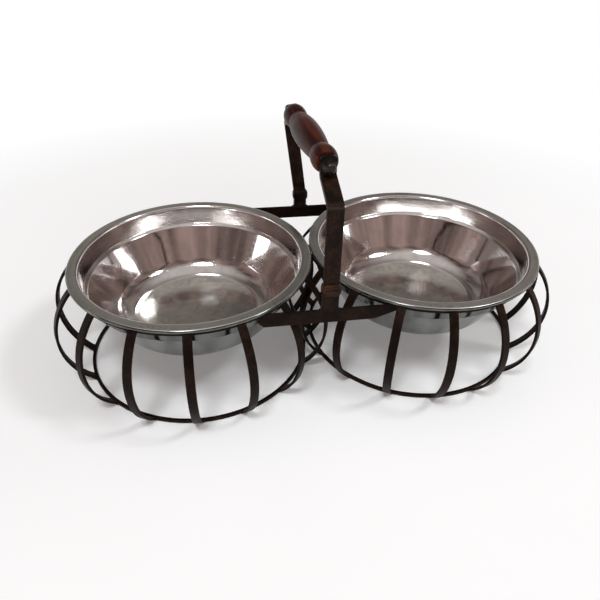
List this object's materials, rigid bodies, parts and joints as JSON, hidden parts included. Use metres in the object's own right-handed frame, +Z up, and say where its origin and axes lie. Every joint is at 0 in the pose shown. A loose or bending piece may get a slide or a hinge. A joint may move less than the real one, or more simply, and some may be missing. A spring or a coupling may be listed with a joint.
{
  "type": "double pet bowl",
  "caption": "Pair of round steel feeding bowls hung by their rims in bulging iron strip cages, joined by rails under a carrying handle with a turned wooden grip.",
  "frame": {"origin": "on the floor, midway between the two bowls", "axes": "+X along the pair of bowls, from the left bowl to the right bowl as the viewer sees them; +Y away from the viewer; +Z up"},
  "size_m": [0.4821, 0.2616, 0.2267],
  "materials": {
    "iron": "dark brown, satin, a little worn",
    "bowl_steel": "polished inside, satin rim and outside",
    "grip_wood": "stained red-brown, lacquered"
  },
  "bodies": {
    "stand": {"left_top_ring": "iron", "left_foot_ring": "iron", "right_top_ring": "iron", "right_foot_ring": "iron", "left_rib_01": "iron", "left_rib_02": "iron", "left_rib_03": "iron", "left_rib_04": "iron", "left_rib_05": "iron", "left_rib_06": "iron", "left_rib_07": "iron", "left_rib_08": "iron", "left_rib_09": "iron", "left_rib_10": "iron", "left_rib_11": "iron", "left_rib_12": "iron", "left_rib_13": "iron", "left_rib_14": "iron", "left_rib_15": "iron", "left_rib_16": "iron", "right_rib_01": "iron", "right_rib_02": "iron", "right_rib_03": "iron", "right_rib_04": "iron", "right_rib_05": "iron", "right_rib_06": "iron", "right_rib_07": "iron", "right_rib_08": "iron", "right_rib_09": "iron", "right_rib_10": "iron", "right_rib_11": "iron", "right_rib_12": "iron", "right_rib_13": "iron", "right_rib_14": "iron", "right_rib_15": "iron", "right_rib_16": "iron", "front_rail": "iron", "front_foot_block": "iron", "front_collar": "iron", "front_upright": "iron", "back_rail": "iron", "back_foot_block": "iron", "back_collar": "iron", "back_upright": "iron", "tie_rod": "iron", "washers": "iron", "cap_nuts": "iron"},
    "left_bowl": {"left_bowl": "bowl_steel"},
    "right_bowl": {"right_bowl": "bowl_steel"},
    "grip": {"grip": "grip_wood"}
  },
  "joints": [
    {"name": "left_bowl_lift", "type": "slide", "parent": "stand", "child": "left_bowl", "axis": [0, 0, 1], "range_m": [0, 0.08]},
    {"name": "right_bowl_lift", "type": "slide", "parent": "stand", "child": "right_bowl", "axis": [0, 0, 1], "range_m": [0, 0.08]},
    {"name": "grip_spin", "type": "hinge", "parent": "stand", "child": "grip", "pos_m": [-0.00504, 0, 0.2149], "axis": [-0.0659, 0.9978, -0.0015], "continuous": true}
  ]
}
